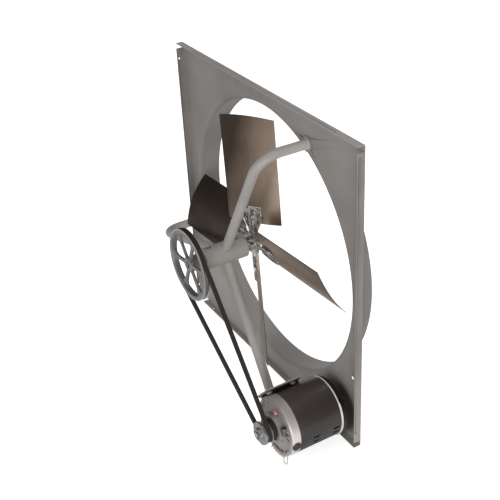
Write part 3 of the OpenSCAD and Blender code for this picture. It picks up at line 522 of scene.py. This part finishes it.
# The bevels' widths are in millimetres.
EDGES = {
    "panel": 0.8,
    "bearing_housing": 0.7,
    "driven_pulley": 0.8,
    "front_end_bell": 0.5,
    "rear_end_bell": 0.8,
    "motor_shell": 0.4,
    "motor_base": 0.6,
    "motor_bracket": 0.6,
    "prop_spider": 0.5,
    "v_belt": 0.6,
    "shaft_slinger": 0.8,
    "motor_pulley_front_half": 0.6,
    "motor_pulley_rear_half": 0.6,
    "fan_shaft": 0.5,
    "reset_button": 0.5,
    "terminal_block": 0.6,
    "lead_clamp": 0.5,
    "prop_hub": 0.8,
}
OWN = {
    **BLADES,
    "motor_pulley_front_half": machined,
    "motor_pulley_rear_half": machined,
    "lead_clamp": plated,
    "bearing_housing": housing_paint,
    "rear_end_bell": shaded_rear_bell,
    "through_bolt_nuts": dark_steel,
}


def round_edges(node, width):
    """Join the corners that share a place, then bevel the edges between them."""
    weld = node.modifiers.new("join", "WELD")
    weld.merge_threshold = 0.01 * MM
    bevel = node.modifiers.new("edge", "BEVEL")
    bevel.width = width
    bevel.segments = 2
    bevel.limit_method = "ANGLE"
    bevel.angle_limit = SHARP_FROM
    bevel.use_clamp_overlap = True
    bevel.harden_normals = False


for name, node in nodes.items():
    node.data.materials.clear()
    node.data.materials.append(OWN.get(name, SLOTS[node_slot[name]]))
    if name in EDGES:
        round_edges(node, EDGES[name] * MM)
even = nodes["panel"].modifiers.new("even", "WEIGHTED_NORMAL")
even.keep_sharp = True
print("nodes dressed:", len(nodes))

# %% [markdown]
# ## Sweeping a round section along a path
# Weld beads, pressed ribs and folded lips are all a small section carried along a line. One function
# does this: it stands a ring of points square to the path at every step and joins the rings. A path
# that is closed joins its last ring to its first, and an open one gets a cap at each end.

# %% Sweep
SIDES = 10
NEARLY_ALONG = 0.05
SHAFT_WAY = Vector((0, 1, 0))
UPWARDS = Vector((0, 0, 1))


def add_piece(name, shape, material):
    """Turn a finished bmesh into an object of the scene."""
    mesh = bpy.data.meshes.new(name)
    shape.to_mesh(mesh)
    shape.free()
    mesh.materials.append(material)
    thing = bpy.data.objects.new(name, mesh)
    bpy.context.scene.collection.objects.link(thing)
    return thing


def add_ring(shape, point, heading, size):
    """A ring of corners round a point, square to the heading."""
    side = heading.cross(SHAFT_WAY)
    if side.length <= NEARLY_ALONG:
        side = heading.cross(UPWARDS)
    side.normalize()
    over = heading.cross(side).normalized()
    ring = []
    for k in range(SIDES):
        angle = math.tau * k / SIDES
        corner = point + side * size * math.cos(angle) + over * size * math.sin(angle)
        ring.append(shape.verts.new(corner))
    return ring


def sweep(name, paths, radius, material, closed=True):
    """Tubes along the given paths, as one object. The radius may depend on the step."""
    shape = bmesh.new()
    for path in paths:
        rings = []
        count = len(path)
        for i, point in enumerate(path):
            after = path[(i + 1) % count] if closed or i < count - 1 else point
            before = path[i - 1] if closed or i > 0 else point
            rings.append(add_ring(shape, point, (after - before).normalized(), radius(i)))
        following = rings[1:] + rings[:1] if closed else rings[1:]
        for first, second in zip(rings, following):
            for k in range(SIDES):
                after = (k + 1) % SIDES
                shape.faces.new((first[k], first[after], second[after], second[k]))
        if not closed:
            shape.faces.new(list(reversed(rings[0])))
            shape.faces.new(rings[-1])
    bmesh.ops.recalc_face_normals(shape, faces=shape.faces)
    for face in shape.faces:
        face.smooth = True
    return add_piece(name, shape, material)


# %% [markdown]
# ## Weld beads
# Each leg is welded to the bearing housing where the two tubes meet, and to its washer plate at the
# foot. The line of the first weld is the saddle curve of two crossing cylinders: at the angle t round
# the leg, it stands the square root of R squared less (r sin t) squared from the shaft. A bead laid
# by hand is a row of overlapping puddles, so its radius swells and shrinks as it goes round.

# %% Beads
# Each leg's angle from X towards Z, and how far from the fan's axis its foot stands.
LEGS = {"upper": (60, 0.415), "left": (197, 0.415), "lower": (302, 0.464)}
TUBE = 12.7 * MM
HOUSING = 30 * MM
BEAD_STANDS_OFF = 0.5 * MM
LEG_PLANE = -0.138
PLATE_FRONT = -0.0045
BEAD_STEPS = 72
PUDDLE_STEPS = 4
SWELL = 0.16
WAVER = 0.08


def leg_frame(angle):
    """X runs out along the leg, Y is the shaft's direction."""
    return Matrix.Translation(FAN_AXIS) @ Matrix.Rotation(-math.radians(angle), 4, "Y")


def puddles(size, start):
    """A radius that swells once per puddle and wavers a little, as a hand does."""

    def radius(i):
        return size * (1 + SWELL * math.sin(i * math.tau / PUDDLE_STEPS) + WAVER * math.sin(i * 1.7 + start))

    return radius


wide = TUBE + BEAD_STANDS_OFF
saddles = []
toes = []
for angle, foot in LEGS.values():
    place = leg_frame(angle)
    saddle = []
    toe = []
    for step in range(BEAD_STEPS):
        t = math.tau * step / BEAD_STEPS
        along = wide * math.cos(t)
        aside = wide * math.sin(t)
        out = math.sqrt(HOUSING**2 - aside**2) + BEAD_STANDS_OFF
        saddle.append(place @ Vector((out, LEG_PLANE + along, aside)))
        toe.append(place @ Vector((foot + along, PLATE_FRONT, aside)))
    saddles.append(saddle)
    toes.append(toe)
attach(sweep("leg_weld_beads", saddles, puddles(1.7 * MM, 3), tube_paint), "frame")
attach(sweep("foot_weld_beads", toes, puddles(1.5 * MM, 5), tube_paint), "frame")
print("weld beads:", len(saddles) + len(toes))

# %% [markdown]
# ## Fins on the front bell's lower edge
# Between the slots of its lower edge, the bell carries short cast fins. They stand about 4 mm proud of
# it, so in the photograph the edge looks like a saw. Each is one flat profile, drawn in the plane
# through the shaft as distance from it and place along it, and thickened across that plane.

# %% Fins
FIN_PROFILE = (
    (0.0715, -0.2118),
    (0.0830, -0.2142),
    (0.0852, -0.2122),
    (0.0852, -0.2030),
    (0.0795, -0.1985),
    (0.0715, -0.2030),
)
FIN_HALF = 1.7 * MM
FIN_ROUND = 0.3 * MM
FIN_COUNT = 7
FIRST_FIN = 64.5
FIN_STEP = 6.5


def add_fin(shape, turn):
    """One fin, at the given turn in degrees from X downwards round the motor."""
    place = Matrix.Translation(MOTOR_AXIS) @ Matrix.Rotation(math.radians(turn), 4, "Y")
    near = [shape.verts.new(place @ Vector((far, y, FIN_HALF))) for far, y in FIN_PROFILE]
    away = [shape.verts.new(place @ Vector((far, y, -FIN_HALF))) for far, y in FIN_PROFILE]
    shape.faces.new(near)
    shape.faces.new(list(reversed(away)))
    for k in range(len(FIN_PROFILE)):
        after = (k + 1) % len(FIN_PROFILE)
        shape.faces.new((near[after], near[k], away[k], away[after]))


fin_shape = bmesh.new()
for number in range(FIN_COUNT):
    add_fin(fin_shape, FIRST_FIN + FIN_STEP * number)
bmesh.ops.recalc_face_normals(fin_shape, faces=fin_shape.faces)
bmesh.ops.bevel(fin_shape, geom=list(fin_shape.edges), offset=FIN_ROUND, segments=1, affect="EDGES")
fins = add_piece("bell_edge_fins", fin_shape, bell_metal)
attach(fins, "frame")
print("fins:", FIN_COUNT)

# %% [markdown]
# ## Folded lips and pressed ribs of the spider's arms
# The spider is thin sheet, and what keeps its arms stiff is a lip folded up along each long edge and
# a rib pressed down the middle. They catch the light as bright lines. Each arm lies on the front of
# its curved blade, so across an arm its points stand on a circle whose centre is behind the blade.

# %% Lips and ribs
PITCH = math.radians(29)
BLADE_MIDDLE = -0.035
ARM_RADIUS = 0.3405
ARM_CENTRE = 0.3271
LIP_PROUD = 1.9 * MM
RIB_PROUD = 0.2 * MM
# Along the arm, aside from its middle, and the radius of the lip's section there.
LIP = (
    (0.036, 0.0118, 0.0015),
    (0.046, 0.0155, 0.0021),
    (0.060, 0.0222, 0.0023),
    (0.074, 0.0284, 0.0023),
    (0.082, 0.0290, 0.0022),
    (0.096, 0.0266, 0.0020),
    (0.108, 0.0244, 0.0014),
)
RIB_PLACES = [along * MM for along in range(38, 69, 3)]
RIB_END = 1.2 * MM
RIB_SWELL = 1.6 * MM


def arm_point(angle, along, aside, proud):
    """A point on the front of an arm: metres along it, aside from its middle and proud of it."""
    slant = Matrix.Translation((0, BLADE_MIDDLE, 0)) @ Matrix.Rotation(PITCH, 4, "X")
    behind = ARM_CENTRE - math.sqrt(ARM_RADIUS**2 - aside**2)
    return leg_frame(angle) @ slant @ Vector((along, behind - proud, aside))


def lip_line(angle, hand):
    """The edge of an arm from its neck past its widest place, along LIP's first two columns."""
    return [arm_point(angle, along, hand * aside, LIP_PROUD) for along, aside, _ in LIP]


def lip_radius(i):
    """The radius of a lip's section is LIP's last column."""
    return LIP[i][2]


def rib_radius(i):
    """A rib's section is small at its ends and swells in the middle."""
    return RIB_END + RIB_SWELL * math.sin(i * math.pi / (len(RIB_PLACES) - 1))


lips = [lip_line(angle, hand) for angle in BLADE_TURNS.values() for hand in (-1, 1)]
ribs = [[arm_point(angle, along, 0, RIB_PROUD) for along in RIB_PLACES] for angle in BLADE_TURNS.values()]
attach(sweep("spider_arm_lips", lips, lip_radius, zinc, closed=False), "fan_rotor")
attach(sweep("spider_arm_ribs", ribs, rib_radius, zinc, closed=False), "fan_rotor")
print("lips:", len(lips), "ribs:", len(ribs))

# %% [markdown]
# ## Camera
# The lens and the place come from matching the panel's corners, the throat and the two shafts to the
# photograph. The camera stands in front of the fan on its motor side and looks down on it. Its turns
# are in degrees about X, Y and Z, and the small middle one is how far it was held off level.

# %% Camera
CAMERA_PLACE = Vector((1.9441, -1.1448, 1.3137))
CAMERA_TURN = (58.9228, 2.7053, 59.1858)

camera_data = bpy.data.cameras.new("camera")
camera = bpy.data.objects.new("camera", camera_data)
bpy.context.scene.collection.objects.link(camera)
bpy.context.scene.camera = camera
camera_data.lens = 68.27
camera_data.sensor_width = 36
camera_data.clip_end = 60
camera.location = CAMERA_PLACE
camera.rotation_euler = [math.radians(angle) for angle in CAMERA_TURN]
print("camera lens:", round(camera_data.lens, 2), "mm")

# %% [markdown]
# ## Light
# The photograph is a product shot on pure white. The broad soft key stands low in front, under the
# camera, because the object's lower parts are the brightest there. Three weaker lamps fill from the
# front, from above and from behind the wall. The surroundings look white to the camera through a
# camera-ray test, so no light is wasted on bleaching them.

# %% Lights
ROOM_LEVEL = 0.58
ROOM_IN_SHINE = 0.03
ROOM_SEEN = 1.0
# A mix node's share and its two plain numbers.
MIX_INPUTS = (0, 2, 3)


def softbox(name, place, target, size, power):
    """A round area lamp of the given width, in metres and watts, turned to its target."""
    data = bpy.data.lights.new(name, "AREA")
    data.shape = "DISK"
    data.size = size
    data.energy = power
    lamp = bpy.data.objects.new(name, data)
    bpy.context.scene.collection.objects.link(lamp)
    lamp.location = place
    lamp.rotation_mode = "QUATERNION"
    lamp.rotation_quaternion = (Vector(target) - Vector(place)).to_track_quat("-Z", "Y")
    return lamp


key = softbox("key", place=(3.0, -1.8, -0.1), target=(0.2, 0, -0.25), size=2.0, power=67)
fill = softbox("fill", place=(1.0, -3.8, 0.5), target=(0, 0, 0), size=1.6, power=12)
top = softbox("top", place=(1.0, -1.0, 3.4), target=(0, 0, 0), size=2.0, power=14)
back = softbox("back", place=(-0.3, 2.8, 1.8), target=(0, 0, 0), size=2.0, power=18)

world = bpy.data.worlds.new("white_room")
bpy.context.scene.world = world
world.use_nodes = True
room = world.node_tree
room.nodes["Background"].inputs["Color"].default_value = (1, 1, 1, 1)
rays = room.nodes.new("ShaderNodeLightPath")


def pick(share, low, high):
    """A level that is low where the share is 0 and high where it is 1."""
    node = room.nodes.new("ShaderNodeMix")
    for place, value in zip(MIX_INPUTS, (share, low, high)):
        if isinstance(value, float):
            node.inputs[place].default_value = value
        else:
            room.links.new(value, node.inputs[place])
    return node.outputs[0]


lit = pick(rays.outputs["Is Glossy Ray"], ROOM_LEVEL, ROOM_IN_SHINE)
lit = pick(rays.outputs["Is Transmission Ray"], lit, ROOM_SEEN)
lit = pick(rays.outputs["Is Camera Ray"], lit, ROOM_SEEN)
room.links.new(lit, room.nodes["Background"].inputs["Strength"])
print("lamps:", key.name, fill.name, top.name, back.name)

# %% [markdown]
# ## Floor
# A plain pale sheet just below the lowest point of the object. It glows a little to the camera only,
# so that it meets the white room without an edge and still takes the object's soft shadow.

# %% Floor
FLOOR_HALF = 14
FLOOR_GAP = 0.001
SQUARE = ((-1, -1), (1, -1), (1, 1), (-1, 1))
FLOOR_DEEP = (0.9, 0.9, 0.9, 1)
FLOOR_LIGHT = (0.92, 0.92, 0.92, 1)
NO_GLOW = (0, 0, 0, 1)
GLOW = (0.7, 0.7, 0.7, 1)

floor_finish = Finish("white_floor", roughness=0.8)
floor_finish.set(base_color=floor_finish.blend(floor_finish.spots(0.8), FLOOR_DEEP, FLOOR_LIGHT))
direct = floor_finish.add("ShaderNodeLightPath", out="Is Camera Ray")
floor_finish.set(emission_color=floor_finish.blend(direct, NO_GLOW, GLOW), emission_strength=1.0)
floor_shape = bmesh.new()
floor_shape.faces.new([floor_shape.verts.new((x * FLOOR_HALF, y * FLOOR_HALF, 0)) for x, y in SQUARE])
floor = add_piece("floor", floor_shape, floor_finish.material)
floor.location.z = first_bounds[0].z - FLOOR_GAP
bpy.context.scene.view_settings.view_transform = "Standard"
print("floor at", round(floor.location.z, 4))
